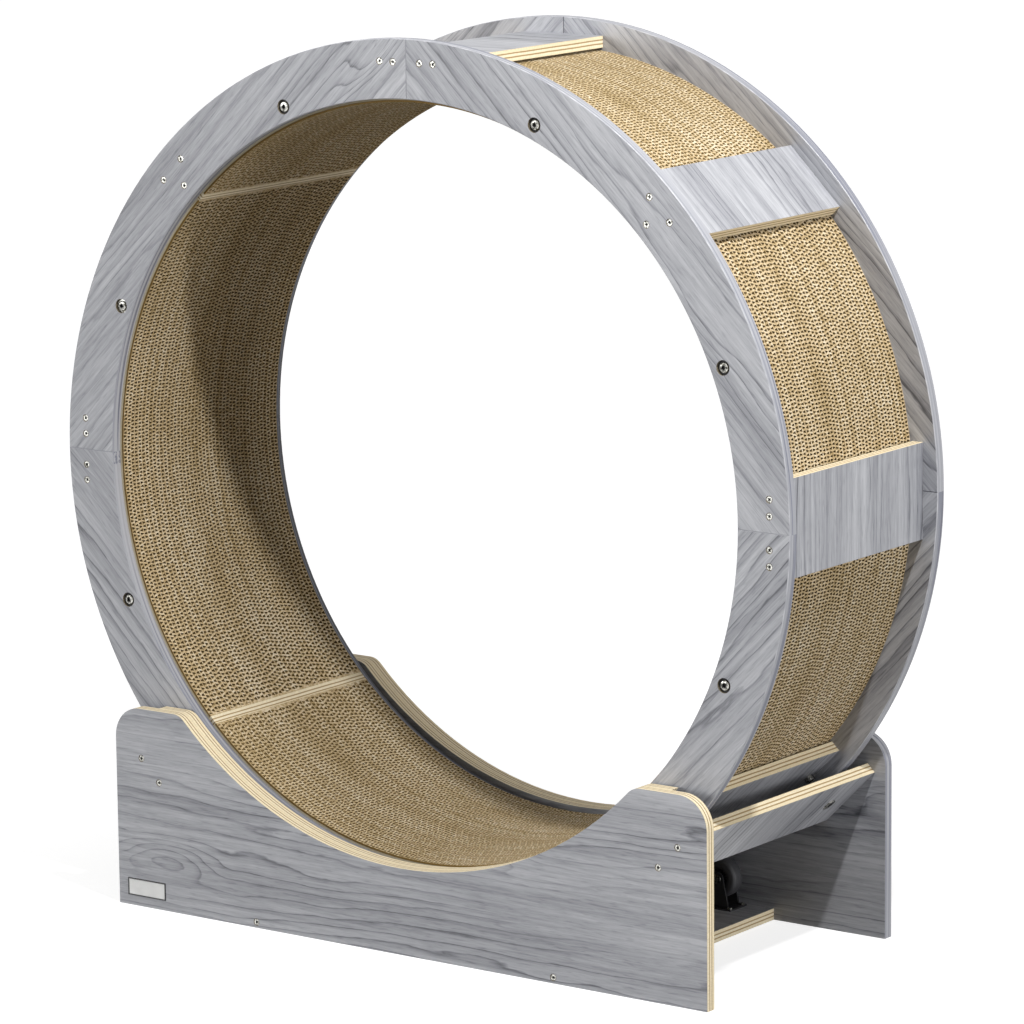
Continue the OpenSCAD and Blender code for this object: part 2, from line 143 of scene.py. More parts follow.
# %% [markdown]
# The boards are faced with grey wood-grain laminate: a printed paper sealed in
# melamine, pressed on hot, with a satin face. The print shows a plain-sawn
# board, whose growth rings run along it as long dark lines. A wave texture could
# draw such lines, but all alike. Here the distance across the board, counted in
# ring widths, is pushed about by a slow noise, so the lines wander, meet in an
# arch now and then and flow round a knot. Each ring starts with a sharp dark
# line and fades. Broad bands, streaks, fine fibres and short dark pores lie on
# top: the rings are 16 mm apart, a streak is about 9 mm wide, a fibre 2 mm and
# a pore 3 mm. The boards carry a UV map named "board", laid in metres with u
# along the grain, so the figure has its real size on every board.

# %% The print's growth rings
laminate, tree, shader = new_material("grey wood-grain laminate", Roughness=0.40)
board_map = add(tree, "UVMap", uv_map="board").outputs[0]
ring_width = 16 * mm
# Bumps a metre along and across the grain, detail, roughness, shift, and the push in ring widths.
ring_waves = (
    (0.9, 5.5, 1.0, 0.4, 0.0, 8.0),
    (4.2, 13.0, 2.0, 0.5, 4.0, 2.2),
    (0.8, 36.0, 1.0, 0.5, 6.0, 2.4),
    (14.0, 60.0, 3.0, 0.6, 2.0, 0.45),
)


def grain_noise(tree, board_map, along, across, detail=2.0, rough=0.5, shift=0.0):
    """A noise with so many bumps a metre along and across the grain."""
    stretched = add(tree, "Mapping", {"Vector": board_map, "Scale": (along, across, 1.0),
                                      "Location": (shift, 0.7 * shift, 0.0)}).outputs[0]
    return add(tree, "TexNoise", {"Vector": stretched, "Scale": 1.0, "Detail": detail,
                                  "Roughness": rough}).outputs["Fac"]


across = add(tree, "SeparateXYZ", (board_map,)).outputs["Y"]
rings = add(tree, "Math", (across, 1 / ring_width), operation="MULTIPLY").outputs[0]
for *wave, push in ring_waves:
    noise = grain_noise(tree, board_map, *wave)
    rings = add(tree, "Math", (noise, push, rings), operation="MULTIPLY_ADD").outputs[0]
print("growth rings", round(ring_width / mm), "mm apart, pushed by", len(ring_waves), "noises")

# %% Knots, and the dark line of each ring
knots_along, knots_across = 2.6, 8.5
knot_reach, knot_push = 0.30, 3.2
knot_map = add(tree, "Mapping", {
    "Vector": board_map, "Scale": (knots_along, knots_across, 1.0)}).outputs[0]
knots = add(tree, "TexVoronoi", {"Vector": knot_map, "Scale": 1.0})
knot_size = add(tree, "SeparateColor", (knots.outputs["Color"],)).outputs[0]
knot = add(tree, "MapRange", (knots.outputs["Distance"], 0.0, knot_reach, 1.0, 0.0),
           interpolation_type="SMOOTHSTEP").outputs[0]
rings = add(tree, "Math", (knot, knot_push, rings), operation="MULTIPLY_ADD").outputs[0]
ring_part = add(tree, "Math", (rings,), operation="FRACT").outputs[0]
late_wood = add(tree, "ValToRGB", (ring_part,), [
    (0.0, "#808080"), (0.06, "#FFFFFF"), (0.18, "#A8A8A8"), (0.50, "#3C3C3C"),
    (0.92, "#202020")]).outputs[0]
print("a cell that can hold a knot is", round(1 / knots_across, 3), "m wide")

# %% Grey wood-grain laminate
heart_shape, heart_fray, heart_dark = (1.0, 2.4, 0.35), 0.06, 0.9
band_share, streak_share, fibre_share, pore_share = 0.80, 1.15, 0.46, 0.14
print_relief = 0.1 * mm
fading = grain_noise(tree, board_map, 1.3, 7.0, 2.0, 0.5, 5.0)
fading = add(tree, "MapRange", (fading, 0.38, 0.62, 0.08, 0.56)).outputs[0]
bands = grain_noise(tree, board_map, 0.9, 17.0, 2.0, 0.55, 9.0)
streaks = grain_noise(tree, board_map, 3.8, 110.0, 5.0, 0.78, 13.0)
fibres = grain_noise(tree, board_map, 30.0, 480.0, 3.0, 0.6)
pores = grain_noise(tree, board_map, 46.0, 380.0, 1.0)
pores = add(tree, "MapRange", (pores, 0.58, 0.72, 0.0, pore_share)).outputs[0]
from_knot = add(tree, "VectorMath", (knot_map, knots.outputs["Position"]),
                operation="SUBTRACT").outputs[0]
from_knot = add(tree, "VectorMath", (from_knot, heart_shape), operation="MULTIPLY").outputs[0]
heart = add(tree, "VectorMath", (from_knot,), operation="LENGTH").outputs["Value"]
heart = add(tree, "Math", (fibres, heart_fray, heart), operation="MULTIPLY_ADD").outputs[0]
heart = add(tree, "MapRange", (heart, 0.04, 0.11, heart_dark, 0.0)).outputs[0]
heart = add(tree, "Math", (heart, knot_size), operation="MULTIPLY").outputs[0]
dark = add(tree, "Math", (late_wood, fading, heart), operation="MULTIPLY_ADD").outputs[0]
for layer, share in ((bands, band_share), (streaks, streak_share), (fibres, fibre_share)):
    dark = add(tree, "Math", (layer, share, dark), operation="MULTIPLY_ADD").outputs[0]
dark = add(tree, "Math", (dark, pores), operation="ADD").outputs[0]
dark = add(tree, "MapRange", (dark, 1.00, 1.82, 0.0, 1.0)).outputs[0]
tone = add(tree, "ValToRGB", (dark,), [
    (0.0, "#BCBDC1"), (0.32, "#A3A4A9"), (0.62, "#87888E"), (1.0, "#55565C")]).outputs[0]
tree.links.new(tone, shader.inputs["Base Color"])
relief = add(tree, "Bump", {"Height": fibres, "Strength": 0.12, "Distance": print_relief}).outputs[0]
tree.links.new(relief, shader.inputs["Normal"])
print("laminate nodes", len(tree.nodes))


# %% [markdown]
# Where a board is sawn, its plies show: three pale layers of wood with a dark
# line of glue and cross-grain between each pair. The map's v runs through the
# thickness there, from 0 to 15 mm, so one colour ramp over v draws the layers.
# A noise along the edge makes the lines waver as veneer does.

# %% Sawn plywood edge
line_waver = 0.035
sawn_ply, tree, shader = new_material("sawn plywood edge", Roughness=0.68)
board_map = add(tree, "UVMap", uv_map="board").outputs[0]
through = add(tree, "SeparateXYZ", (board_map,)).outputs["Y"]
through = add(tree, "Math", (through, 1 / ply), operation="MULTIPLY").outputs[0]
waver = grain_noise(tree, board_map, 26.0, 90.0)
waver = add(tree, "MapRange", (waver, 0.0, 1.0, -line_waver, line_waver)).outputs[0]
through = add(tree, "Math", (through, waver), operation="ADD").outputs[0]
plies = add(tree, "ValToRGB", (through,), [
    (0.0, "#D9C69E"), (0.06, "#F0E2C0"), (0.26, "#F4E7C9"), (0.31, "#A98D5E"), (0.37, "#9F8352"),
    (0.42, "#F2E4C5"), (0.58, "#F5E9CE"), (0.63, "#AB8F60"), (0.69, "#9E8250"), (0.74, "#F1E2C0"),
    (0.95, "#EFE0BE"), (1.0, "#D0BA8E")]).outputs[0]
saw_marks = grain_noise(tree, board_map, 700.0, 160.0)
saw_marks = add(tree, "MapRange", (saw_marks, 0.3, 0.7, 0.86, 1.04)).outputs[0]
tone = add(tree, "VectorMath", (plies, saw_marks), operation="MULTIPLY").outputs[0]
tree.links.new(tone, shader.inputs["Base Color"])
print("ply", round(ply / mm, 1), "mm, lines waver by", round(line_waver * ply / mm, 2), "mm")


# %% [markdown]
# The rings' edges, and the outer edge of the back panel, are covered with a
# strip of the same grey print, ironed on and cut flush. Trimming leaves a thin
# pale line along each corner, so the narrow bevels have a paler finish, partly
# that real line and partly a painted highlight. Inside the back ring the same
# strip is painted darker as painted shade, blue-grey, with a few paler lines.

# %% Edge band, its pale corners with painted highlight, and its painted shade
def band(name, stops):
    """A strip with fine lines along it, in the colours of its stops."""
    material, tree, shader = new_material(name, Roughness=0.40)
    lines = grain_noise(tree, add(tree, "UVMap", uv_map="board").outputs[0], 1.6, 260.0)
    tone = add(tree, "ValToRGB", (lines,), stops).outputs[0]
    tree.links.new(tone, shader.inputs["Base Color"])
    return material


def speckled(name, bumps, stops, detail=2.0, **values):
    """A material whose colour runs over a noise with so many bumps a metre."""
    material, tree, shader = new_material(name, **values)
    spot = add(tree, "TexCoord").outputs["Object"]
    noise = add(tree, "TexNoise", {"Vector": spot, "Scale": bumps, "Detail": detail}).outputs["Fac"]
    tone = add(tree, "ValToRGB", (noise,), stops).outputs[0]
    tree.links.new(tone, shader.inputs["Base Color"])
    return material


edge_band = band("ironed-on grey edge band", [
    (0.30, "#B4B5BA"), (0.50, "#A0A1A7"), (0.58, "#7E808D"), (0.64, "#606271"), (0.72, "#94959C")])
# Painted shade: the same band, painted darker for the inside of the back ring.
band_with_painted_shade = band("ironed-on painted_shade_grey edge band", [
    (0.34, "#686A76"), (0.42, "#42444E"), (0.55, "#2C2D36"), (0.66, "#393A44"), (0.74, "#212228")])
# The pale corner is partly the line left by trimming and partly a painted highlight.
painted_highlight_trim = speckled("trimmed corner of the band", 60.0, [(0.35, "#C4C5C9"), (0.65, "#9E9FA5")],
                   Roughness=0.45)
print("bands:", edge_band.name, "and", band_with_painted_shade.name)


# %% [markdown]
# Where a hole is drilled, the plywood's wall is torn end grain. Its finish is
# painted shade: dark brown, in specks of about a millimetre. The shade in the
# narrow gap round a screw does the rest: from where a person stands it is a dark ring.

# %% Drilled hole in plywood, painted with shade
# Painted shade: the hole's wall is painted darker than the sawn plywood edge.
drilled = speckled("drilled hole in plywood", 900.0, [(0.35, "#57503F"), (0.7, "#857A68")],
                   Roughness=0.85)
print("finish:", drilled.name)


# %% [markdown]
# A board is already the right shape in the frame, as loose triangles with sharp
# corners. It could be modelled again, but then its screw holes would have to
# match by hand. So a copy is welded, its flat faces are joined again, and its
# long corners get a small bevel, as sandpaper leaves, which is what catches the
# light. Then every face gets its finish and its place on the board's own map.

# %% Boards from the frame
near = 0.01 * mm
flat_turn = radians(0.5)


def welded_copy(node):
    """A welded copy of a node's mesh, with its flat faces joined again."""
    bm = bmesh.new()
    bm.from_mesh(frame["nodes"][node].data)
    bmesh.ops.remove_doubles(bm, verts=bm.verts, dist=near)
    bmesh.ops.dissolve_limit(bm, angle_limit=flat_turn, verts=bm.verts, edges=bm.edges)
    return bm


def shells(bm):
    """The separate shells of a mesh, each a list of faces."""
    left, groups = set(bm.faces), []
    for start in list(bm.faces):
        if start not in left:
            continue
        left.discard(start)
        group = [start]
        for face in group:
            for near_face in [f for e in face.edges for f in e.link_faces]:
                if near_face in left:
                    left.discard(near_face)
                    group.append(near_face)
        groups.append(group)
    return groups


def spoke_way(angle):
    """The way out from the axis at an angle in degrees, from the right as seen from the front."""
    return Vector((cos(radians(angle)), 0, sin(radians(angle))))


bm = welded_copy("front_rim_ne")
print("one ring quarter: shells", len(shells(bm)), "faces", len(bm.faces))
bm.free()

# %% [markdown]
# The holes that the fasteners stand in are in the frame already. To find their
# faces, the fasteners are looked up: each is a separate shell of its node, and
# its middle, direction and radius tell which faces of a board lie in its hole.

# %% Where the boards were drilled
drill_gap = 0.8 * mm
same_way = 0.9
laminate_slot, sawn_slot, band_slot, corner_slot, drilled_slot, painted_shade_band_slot = range(6)
board_finishes = [laminate, sawn_ply, edge_band, painted_highlight_trim, drilled, band_with_painted_shade]
front_way, back_way, lock_way = Vector((0, 1, 0)), Vector((0, -1, 0)), -spoke_way(-45)
fastener_ways = {
    "rim_screws_front": front_way, "rim_screws_back": back_way, "panel_screws_front": front_way,
    "panel_screws_back": back_way, "tie_bolts": front_way, "tie_nuts": back_way,
    "caster_screws": Vector((0, 0, -1)), "lock_bush": lock_way, "lock_socket": lock_way,
}


def off_axis(point, middle, way):
    """How far a point lies from the line through middle along way."""
    arm = point - middle
    return (arm - arm.dot(way) * way).length


drillings = []
for node, way in fastener_ways.items():
    bm = welded_copy(node)
    for faces in shells(bm):
        spots = [v.co for f in faces for v in f.verts]
        middle = Vector([(min(s[i] for s in spots) + max(s[i] for s in spots)) / 2 for i in range(3)])
        drillings.append((middle, way, max(off_axis(s, middle, way) for s in spots) + drill_gap))
    bm.free()
print("drilled holes", len(drillings))


# %% The faces in a board's holes
def mark_holes(bm, through):
    """Finds the faces inside a board's holes; through is the way through the board."""
    spots = [v.co for v in bm.verts]
    low, high = ([end(s[i] for s in spots) for i in range(3)] for end in (min, max))
    levels = [s.dot(through) for s in spots]
    own = [(m, w, r) for m, w, r in drillings
           if all(abs(w[i]) > same_way or low[i] - r < m[i] < high[i] + r for i in range(3))]
    count = 0
    for face in bm.faces:
        spot = face.calc_center_median()
        outer = abs(face.normal.dot(through)) > same_way and not (
            min(levels) + near < spot.dot(through) < max(levels) - near)
        if not outer and any(all(off_axis(v.co, m, w) < r for v in face.verts) for m, w, r in own
                             if off_axis(spot, m, w) < r):
            # The faces in a hole get the drilled finish, which is painted shade.
            face.material_index = drilled_slot
            count += 1
    return count


# %% [markdown]
# A finished board goes into the scene as one piece. Its flat faces are shaded
# flat and its round edges smooth, and the map is laid face by face: on the two
# faces straight across them, and on the edges along the cut.

# %% A finished piece
def place(bm, name, body, replaced, materials, smooth_angle=20, flat_slots=()):
    """A finished piece from a bmesh: its mesh, finishes, body, and the nodes that it stands for."""
    mesh = bpy.data.meshes.new(name)
    bm.to_mesh(mesh)
    bm.free()
    for material in materials:
        mesh.materials.append(material)
    mesh.shade_smooth()
    mesh.set_sharp_from_angle(angle=radians(smooth_angle))
    for polygon in mesh.polygons:
        polygon.use_smooth = polygon.material_index not in flat_slots
    piece = bpy.data.objects.new(name, mesh)
    bpy.context.scene.collection.objects.link(piece)
    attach(piece, body)
    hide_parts(*replaced)
    return piece


def place_board(bm, name, body, node):
    """A finished board, shaded flat on its two faces."""
    place(bm, name, body, [node], board_finishes, flat_slots=(laminate_slot,))


# %% Eased corners
corner_turn = radians(50)


def bevel(bm, edges, width, segments):
    """Rounds edges by a width."""
    bmesh.ops.bevel(bm, geom=edges, offset=width, offset_type="OFFSET", affect="EDGES",
                    segments=segments, profile=0.5, material=-1, clamp_overlap=True)


def ease_corners(bm, width, least_area=60 * mm * mm):
    """Bevels the corners between large faces and leaves bores and recesses sharp."""
    corners = [e for e in bm.edges if e.is_manifold and e.calc_face_angle() > corner_turn
               and min(f.calc_area() for f in e.link_faces) > least_area]
    bevel(bm, corners, width, 2)
    return len(corners)


# %% The board's map and the finish of each face
def sawn(face):
    """The finish of an edge that was only sawn."""
    return sawn_slot


def lay_board_map(bm, through, along, shift, centre=None, edge_finish=sawn):
    """Lays the map in metres and gives each face that isn't in a hole its finish.

    through is the direction of the board's thickness and along that of its grain. Where centre is
    given, an edge is measured round it. edge_finish says which finish an edge face has."""
    bmesh.ops.triangulate(bm, faces=[f for f in bm.faces if len(f.verts) > 4], ngon_method="BEAUTY")
    layer = bm.loops.layers.uv.new("board")
    across = through.cross(along)
    near_side = min(v.co.dot(through) for v in bm.verts)
    for face in bm.faces:
        square = abs(face.normal.dot(through))
        edge_way = through.cross(face.normal).normalized() if square < same_way else along
        if face.material_index != drilled_slot:
            face.material_index = laminate_slot if square > same_way else edge_finish(face)
        for loop in face.loops:
            spot = loop.vert.co
            if square > same_way:
                loop[layer].uv = (spot.dot(along) + shift[0], spot.dot(across) + shift[1])
            else:
                run = spot.dot(edge_way)
                if centre is not None:
                    arm = spot - centre
                    run = atan2(arm.z, arm.x) * hypot(arm.x, arm.z)
                loop[layer].uv = (run + shift[0], spot.dot(through) - near_side)


# %% [markdown]
# Each ring is four quarters, butted end to end. Their grain follows each
# quarter's chord, so it changes direction at every joint, and the corners at
# the joints are eased a little, which draws the dark hairline of the seam. Each
# quarter is cut from its own place in the printed sheet, a few metres on from
# the last, so no figure comes twice.

# %% Ring quarters
depth_way = Vector((0, 1, 0))
quarters = {"ne": 0, "nw": 1, "sw": 2, "se": 3}
quarter_steps, back_step = (3.1, 0.9), 1.7
seam_ease, seam_least, in_plane, aslant = 0.5 * mm, 50 * mm, 0.999, 0.2
ring_radii = [hypot(v.co.x, v.co.z - axis.z) for v in frame["nodes"]["front_rim_ne"].data.vertices]
ring_middle = (min(ring_radii) + max(ring_radii)) / 2


def ring_edge(face):
    """The band inside a ring, with painted shade in the back one, and outside the band or its pale
    corner with painted highlight.
    """
    spot = face.calc_center_median() - axis
    if hypot(spot.x, spot.z) < ring_middle:
        return painted_shade_band_slot if spot.y > 0 else band_slot
    return corner_slot if abs(face.normal.y) > aslant else band_slot


for side in ("front", "back"):
    for name, turn in quarters.items():
        node = f"{side}_rim_{name}"
        bm = welded_copy(node)
        joint_ways = (spoke_way(90 * turn + 90), spoke_way(90 * turn + 180))
        seams = [e for e in bm.edges if e.is_manifold and e.calc_face_angle() > corner_turn
                 and e.calc_length() > seam_least
                 and any(abs(f.normal.dot(w)) > in_plane for f in e.link_faces for w in joint_ways)]
        bevel(bm, seams, seam_ease, 1)
        holes = mark_holes(bm, depth_way)
        shift = (quarter_steps[0] * turn + (back_step if side == "back" else 0.0),
                 quarter_steps[1] * turn)
        lay_board_map(bm, depth_way, spoke_way(90 * turn + 135), shift, centre=axis,
                      edge_finish=ring_edge)
        place_board(bm, f"{node}_board", "wheel", node)
print("ring quarters", 2 * len(quarters), "faces of holes in the last", holes)

# %% [markdown]
# The slats join the rings, and the dividers stand behind the track between two
# pads. Their grain runs round the wheel, across their own width, so the short
# fibres end at the long sawn edges.

# %% Slats and dividers
ease = 0.4 * mm
slat_steps, divider_steps = (0.83, 1.7), (2.2, 0.4)
for angle in range(0, 360, 45):
    node = f"slat_{angle:03d}"
    bm = welded_copy(node)
    mark_holes(bm, spoke_way(angle))
    ease_corners(bm, ease)
    shift = [step * angle / 45 for step in slat_steps]
    lay_board_map(bm, spoke_way(angle), spoke_way(angle + 90), shift)
    place_board(bm, f"{node}_board", "wheel", node)
for angle in range(45, 360, 90):
    node = f"divider_{angle:03d}"
    bm = welded_copy(node)
    mark_holes(bm, spoke_way(angle + 90))
    ease_corners(bm, ease)
    shift = (divider_steps[0] * angle / 45, divider_steps[1])
    lay_board_map(bm, spoke_way(angle + 90), spoke_way(angle), shift)
    place_board(bm, f"{node}_board", "wheel", node)
print("corners of slats and dividers eased by", round(ease / mm, 1), "mm")

# %% [markdown]
# The stand's boards are sawn from the same sheets, with the grain along them.
# Only the back panel's right edge, which faces the buyer, has the ironed-on band.

# %% Stand boards
banded_from = 405 * mm
right_way = Vector((1, 0, 0))


def back_panel_edge(face):
    """The band on the back panel's right edge, and the sawn edge elsewhere."""
    if face.calc_center_median().x < banded_from:
        return sawn_slot
    return corner_slot if abs(face.normal.y) > aslant else band_slot


# The way through each board, the way of its grain, and its place in the printed sheet.
stand_boards = {
    "front_panel": (depth_way, right_way, (7.3, 2.1)),
    "back_panel": (depth_way, right_way, (11.9, 5.4)),
    "front_guide": (depth_way, right_way, (1.1, 8.2)),
    "back_guide": (depth_way, right_way, (4.4, 9.6)),
    "left_end_board": (spoke_way(-135), spoke_way(-45), (6.2, 3.3)),
    "right_end_board": (spoke_way(-45), spoke_way(45), (9.7, 7.1)),
    "bottom_board": (Vector((0, 0, 1)), right_way, (2.8, 6.5)),
}
for node, (through, along, shift) in stand_boards.items():
    bm = welded_copy(node)
    holes = mark_holes(bm, through)
    count = ease_corners(bm, ease)
    edge_finish = back_panel_edge if node == "back_panel" else sawn
    lay_board_map(bm, through, along, shift, edge_finish=edge_finish)
    place_board(bm, f"{node}_sheet", "stand", node)
    print(node, "eased corners", count, "faces of holes", holes)


# %% [markdown]
# A pad is many sheets of corrugated cardboard, cut to the track's curve and
# glued side by side, so the cat runs on their edges. The flutes run straight
# through the pad, and their ends make the rows of dark holes. Bump would look
# flat from close by, so the holes are real. A grid has four columns for every
# flute and two lines for every sheet: its points are moved to the outline of
# the wavy paper, and the faces between the papers are pushed in. Each sheet
# has its own phase, as glued sheets never line up. Behind the slats nothing
# shows, so there the grid's columns are merged and no holes are made.

# %% Sizes of one cardboard pad
flute, sheet_wanted = 9.1 * mm, 7.1 * mm
pit_depth = 5 * mm
paper = 1.8 * mm
least_hole = 1 * mm
pad_low, pad_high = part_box("pad_east")
pad_radii = [hypot(v.co.x, v.co.z - axis.z) for v in frame["nodes"]["pad_east"].data.vertices]
track_radius, pad_radius = min(pad_radii), max(pad_radii)
sheets = round((pad_high.y - pad_low.y) / sheet_wanted)
sheet = (pad_high.y - pad_low.y) / sheets
pad_reach = pad_high.z - axis.z
end_step = sqrt(pad_radius ** 2 - pad_reach ** 2) - pad_reach
print("track radius", round(track_radius, 4), "sheets", sheets, "of", round(sheet / mm, 2), "mm")


def half_width(slat, tangent):
    """Half of a slat's width round the wheel, in the direction given."""
    return max(abs((v.co - axis).dot(tangent)) for v in frame["nodes"][slat].data.vertices)


slat_cover = half_width("slat_000", spoke_way(90))
end_cover = half_width("slat_045", spoke_way(135))


def behind_slat(across):
    """Whether a flute of the pad's back lies wholly behind the slat at its middle or at an end."""
    turn = asin(min(abs(across) / pad_radius, 1))
    half_flute = 0.55 * flute
    return (abs(across) + half_flute < slat_cover
            or pad_radius * sin(abs(radians(45) - turn)) + half_flute < end_cover)


# %% The columns of one sheet
foot_shares, crest_shares, flute_middle = (-0.20, 0.20, 0.44, 0.56), (-0.06, 0.06, 0.30, 0.70), 0.25
print("columns a flute", len(foot_shares), "and flutes a pad about", round(2 * pad_reach / flute))


def column_places(flutes, end, phase, outside):
    """Where a sheet's columns stand on its foot and crest lines, and which of them start a hole."""
    lines = ([], [])
    for line, shares in zip(lines, (foot_shares, crest_shares)):
        for number in range(flutes + 1):
            start = (number - flutes / 2 + phase) * flute
            hidden = outside and behind_slat(start + flute_middle * flute)
            line += [start + (shares[0] if hidden else share) * flute for share in shares]
    edge = end - paper
    open_holes = [c for c in range(0, 4 * flutes, 2)
                  if lines[0][c + 1] - lines[0][c] > near
                  and min(line[c] for line in lines) < edge - least_hole
                  and max(line[c + 1] for line in lines) > least_hole - edge]
    for line in lines:
        for column, across in enumerate(line):
            if column < open_holes[0]:
                line[column] = -end
            elif column > open_holes[-1] + 1:
                line[column] = end
            else:
                line[column] = min(max(across, -edge), edge)
    return lines, set(open_holes)


# %% One cut face of a pad
same_spot = 0.001 * mm
kraft_slot, wall_slot, pit_slot, liner_slot, hole_mark = range(5)


def cut_face(bm, radius, push, phases):
    """Adds the fluted skin at a radius, with its pits pushed along X, for the pad on the right."""
    end = (sqrt(2 * radius ** 2 - end_step ** 2) - end_step) / 2
    flutes = 2 * int(end / flute + 2)
    columns, rows = 4 * flutes, 2 * sheets + 1
    places = [column_places(flutes, end, phase, radius == pad_radius) for phase in phases]
    grid = bmesh.ops.create_grid(bm, x_segments=columns, y_segments=rows, size=1.0)["verts"]
    faces = {f for v in grid for f in v.link_faces}
    for face in faces:
        middle = face.calc_center_median()
        column, row = int((middle.x + 1) / 2 * columns), int((middle.y + 1) / 2 * rows)
        if row % 2 and column in places[row // 2][1]:
            face.material_index = hole_mark
    for vert in grid:
        column = round((vert.co.x + 1) / 2 * columns)
        line = round((vert.co.y + 1) / 2 * rows)
        number = min(max((line - 1) // 2, 0), sheets - 1)
        on_crest = line > 0 and (line % 2 == 0 or line == rows)
        across = places[number][0][on_crest][column]
        depth = pad_low.y + number * sheet + (sheet - paper / 2 if on_crest else paper / 2)
        if line == 0:
            depth = pad_low.y
        if line == rows:
            depth = pad_high.y
        vert.co = (sqrt(radius ** 2 - across ** 2), depth, axis.z + across)
    beyond = [f for f in faces if all(abs(abs(v.co.z - axis.z) - end) < near for v in f.verts)]
    bmesh.ops.delete(bm, geom=beyond, context="FACES")
    bmesh.ops.remove_doubles(bm, verts=[v for v in grid if v.is_valid], dist=same_spot)
    holes = [f for f in bm.faces if f.material_index == hole_mark]
    pits = bmesh.ops.extrude_discrete_faces(bm, faces=holes)["faces"]
    bmesh.ops.translate(bm, verts=list({v for f in pits for v in f.verts}), vec=(push, 0, 0))
    for pit in pits:
        for wall in {f for e in pit.edges for f in e.link_faces}:
            wall.material_index = wall_slot
    for pit in pits:
        pit.material_index = pit_slot
    return len(pits)


# %% Both cut faces and the four flat sides
random.seed(7)
phase_steps, phase_slack = (0.5, 0.5, 0.15, -0.2), 0.06
phases = [0.0]
while len(phases) < sheets:
    phase = phases[-1] + random.choice(phase_steps) + random.uniform(-phase_slack, phase_slack)
    phases.append(phase % 1)

pad_bm = bmesh.new()
pit_count = cut_face(pad_bm, track_radius, pit_depth, phases)
pit_count += cut_face(pad_bm, pad_radius, -pit_depth, phases)


def on_side(vert, side):
    """Whether a point lies in the front or back plane of the pad, or in its upper or lower end plane."""
    across = vert.co.z - axis.z
    return {
        "front": abs(vert.co.y - pad_low.y) < near,
        "back": abs(vert.co.y - pad_high.y) < near,
        "upper": abs(vert.co.x - across - end_step) < near,
        "lower": abs(vert.co.x + across - end_step) < near,
    }[side]


rim = {v for e in pad_bm.edges if e.is_boundary for v in e.verts}
for depth_side in ("front", "back"):
    for end_side in ("upper", "lower"):
        corner = [v for v in rim if on_side(v, depth_side) and on_side(v, end_side)]
        bmesh.ops.contextual_create(pad_bm, geom=corner)
for side in ("front", "back", "upper", "lower"):
    outline = [e for e in pad_bm.edges
               if len(e.link_faces) < 2 and all(on_side(v, side) for v in e.verts)]
    for face in bmesh.ops.edgeloop_fill(pad_bm, edges=outline)["faces"]:
        face.material_index = liner_slot if side in ("front", "back") else kraft_slot
bmesh.ops.recalc_face_normals(pad_bm, faces=pad_bm.faces)
open_edges = sum(not e.is_manifold for e in pad_bm.edges)
print("pad: pits", pit_count, "faces", len(pad_bm.faces), "open edges", open_edges)

# %% [markdown]
# The sheets are kraft cardboard: brown recycled paper, cut with a saw, so each
# edge is matt and a little fuzzy. The sheets differ slightly in tone. That is
# drawn by rounding the depth down to whole sheets and giving each its own
# random shade. On top lie soft stains, about 110 mm wide, and fuzz of 4 mm.

# %% Sawn kraft cardboard
sheet_share, fuzz_share = 0.22, 1.5
kraft, tree, shader = new_material(
    "sawn corrugated kraft board", Roughness=0.92, Specular_IOR_Level=0.2)
spot = add(tree, "TexCoord").outputs["Object"]
depth = add(tree, "SeparateXYZ", (spot,)).outputs["Y"]
number = add(tree, "Math", (depth, 1 / sheet), operation="MULTIPLY").outputs[0]
number = add(tree, "Math", (number,), operation="FLOOR").outputs[0]
shade = add(tree, "TexWhiteNoise", {"W": number}, noise_dimensions="1D").outputs["Value"]
stain = add(tree, "TexNoise", {"Vector": spot, "Scale": 9.0, "Detail": 3.0}).outputs["Fac"]
fuzz = add(tree, "TexNoise", {
    "Vector": spot, "Scale": 260.0, "Detail": 3.0, "Roughness": 0.6}).outputs["Fac"]
stain = add(tree, "MapRange", (stain, 0.0, 1.0, 0.28, 0.72)).outputs[0]
tone = add(tree, "Math", (shade, sheet_share, stain), operation="MULTIPLY_ADD").outputs[0]
tone = add(tree, "Math", (fuzz, fuzz_share, tone), operation="MULTIPLY_ADD").outputs[0]
tone = add(tree, "MapRange", (tone, 0.95, 1.80, 0.0, 1.0)).outputs[0]
tone = add(tree, "ValToRGB", (tone,), [(0.0, "#957E53"), (0.45, "#C8B18A"), (1.0, "#F0E4CB")]).outputs[0]
tree.links.new(tone, shader.inputs["Base Color"])
print("sheets that each have a shade", sheets)

# %% Inside of the flutes, painted with shade
# Painted shade: a flute's walls are painted darker than the kraft edges, and its ends nearly black.
flute_wall_painted_shade = speckled("kraft paper inside a flute", 300.0, [(0.3, "#6E5A32"), (0.7, "#8F794C")],
                      Roughness=0.95)
flute_end_painted_shade = speckled("shade deep in a flute", 300.0, [(0.3, "#241A0C"), (0.7, "#382A14")],
                     Roughness=0.95)
print("inside a flute:", flute_wall_painted_shade.name, "and", flute_end_painted_shade.name)
